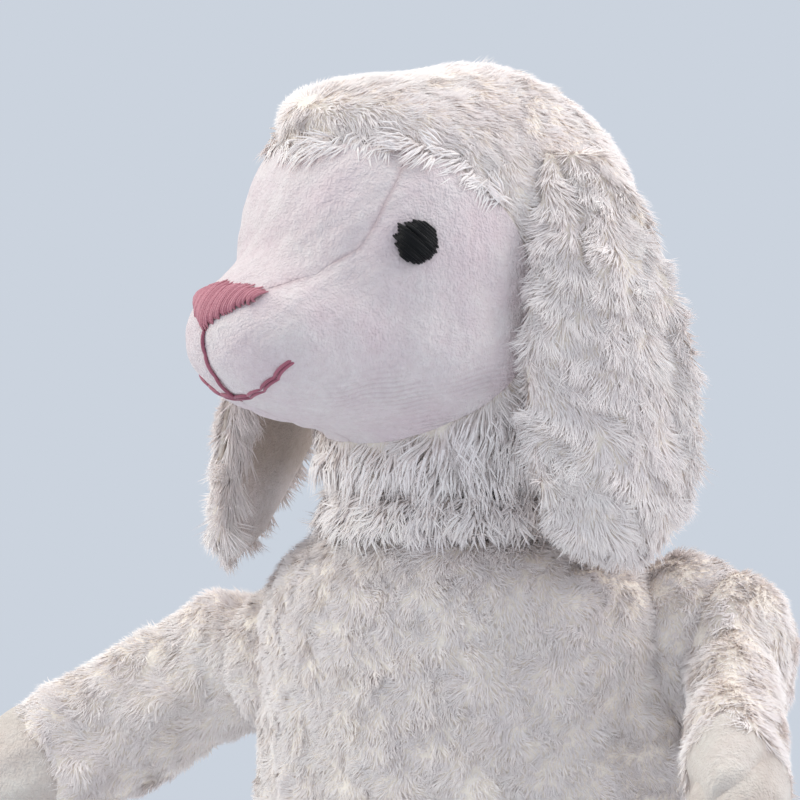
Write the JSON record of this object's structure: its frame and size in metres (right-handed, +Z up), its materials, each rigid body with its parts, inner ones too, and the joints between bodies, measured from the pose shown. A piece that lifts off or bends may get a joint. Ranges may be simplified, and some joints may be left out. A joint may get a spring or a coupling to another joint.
{
  "type": "sheep hand puppet",
  "caption": "Plush sheep hand puppet: open fur glove with finger sleeves ending in hooves, stuffed head on a finger pocket, and hanging ears.",
  "frame": {"origin": "middle of the hem opening, in the plane of the hem edge", "axes": "+Z up from the hem to the head, -Y the way the body faces, +X the puppet's left side"},
  "size_m": [0.2453, 0.1254, 0.2681],
  "materials": {
    "cream_fur": "long-pile cotton plush, cream with pinkish shade",
    "pale_velour": "short-pile knitted velour, pale pinkish white",
    "cotton_jersey": "plain cotton jersey, undyed",
    "wool_fill": "loose carded wool filling",
    "black_thread": "black satin-stitch embroidery",
    "rose_thread": "dusty-rose satin-stitch embroidery"
  },
  "bodies": {
    "glove": {"torso_front": "cream_fur", "torso_back": "cream_fur", "hem_facing": "cotton_jersey"},
    "arm_left": {"arm_sleeve_left": "cream_fur", "hoof_left": "pale_velour"},
    "arm_right": {"arm_sleeve_right": "cream_fur", "hoof_right": "pale_velour"},
    "neck": {"neck_ruff": "cream_fur"},
    "head": {"head_stuffing": "wool_fill", "finger_pocket": "cotton_jersey", "face_gusset": "pale_velour", "cheek_left": "pale_velour", "cheek_right": "pale_velour", "hood_front": "cream_fur", "hood_back": "cream_fur", "eye_left": "black_thread", "eye_right": "black_thread", "nose": "rose_thread", "mouth": "rose_thread"},
    "ear_left": {"ear_left": "cream_fur", "ear_left_lining": "pale_velour"},
    "ear_right": {"ear_right": "cream_fur", "ear_right_lining": "pale_velour"}
  },
  "joints": [
    {"name": "neck_turn", "type": "hinge", "parent": "glove", "child": "neck", "pos_m": [0, -0.009, 0.155], "axis": [0, 0, 1], "range_deg": [-30, 80]},
    {"name": "head_nod", "type": "hinge", "parent": "neck", "child": "head", "pos_m": [0, -0.009, 0.18], "axis": [0.9063, -0.4226, 0], "range_deg": [-20, 12]},
    {"name": "arm_left_raise", "type": "hinge", "parent": "glove", "child": "arm_left", "pos_m": [0.067, 0.005, 0.123], "axis": [-1, 0, 0], "range_deg": [-65, 45]},
    {"name": "arm_right_raise", "type": "hinge", "parent": "glove", "child": "arm_right", "pos_m": [-0.073, 0, 0.116], "axis": [0, 1, 0], "range_deg": [-22, 62]},
    {"name": "ear_left_lift", "type": "hinge", "parent": "head", "child": "ear_left", "pos_m": [0.03127, -0.02358, 0.246], "axis": [-0.4226, -0.9063, 0], "range_deg": [0, 100]},
    {"name": "ear_right_lift", "type": "hinge", "parent": "head", "child": "ear_right", "pos_m": [-0.03127, 0.00558, 0.246], "axis": [0.4226, 0.9063, 0], "range_deg": [0, 100]}
  ]
}
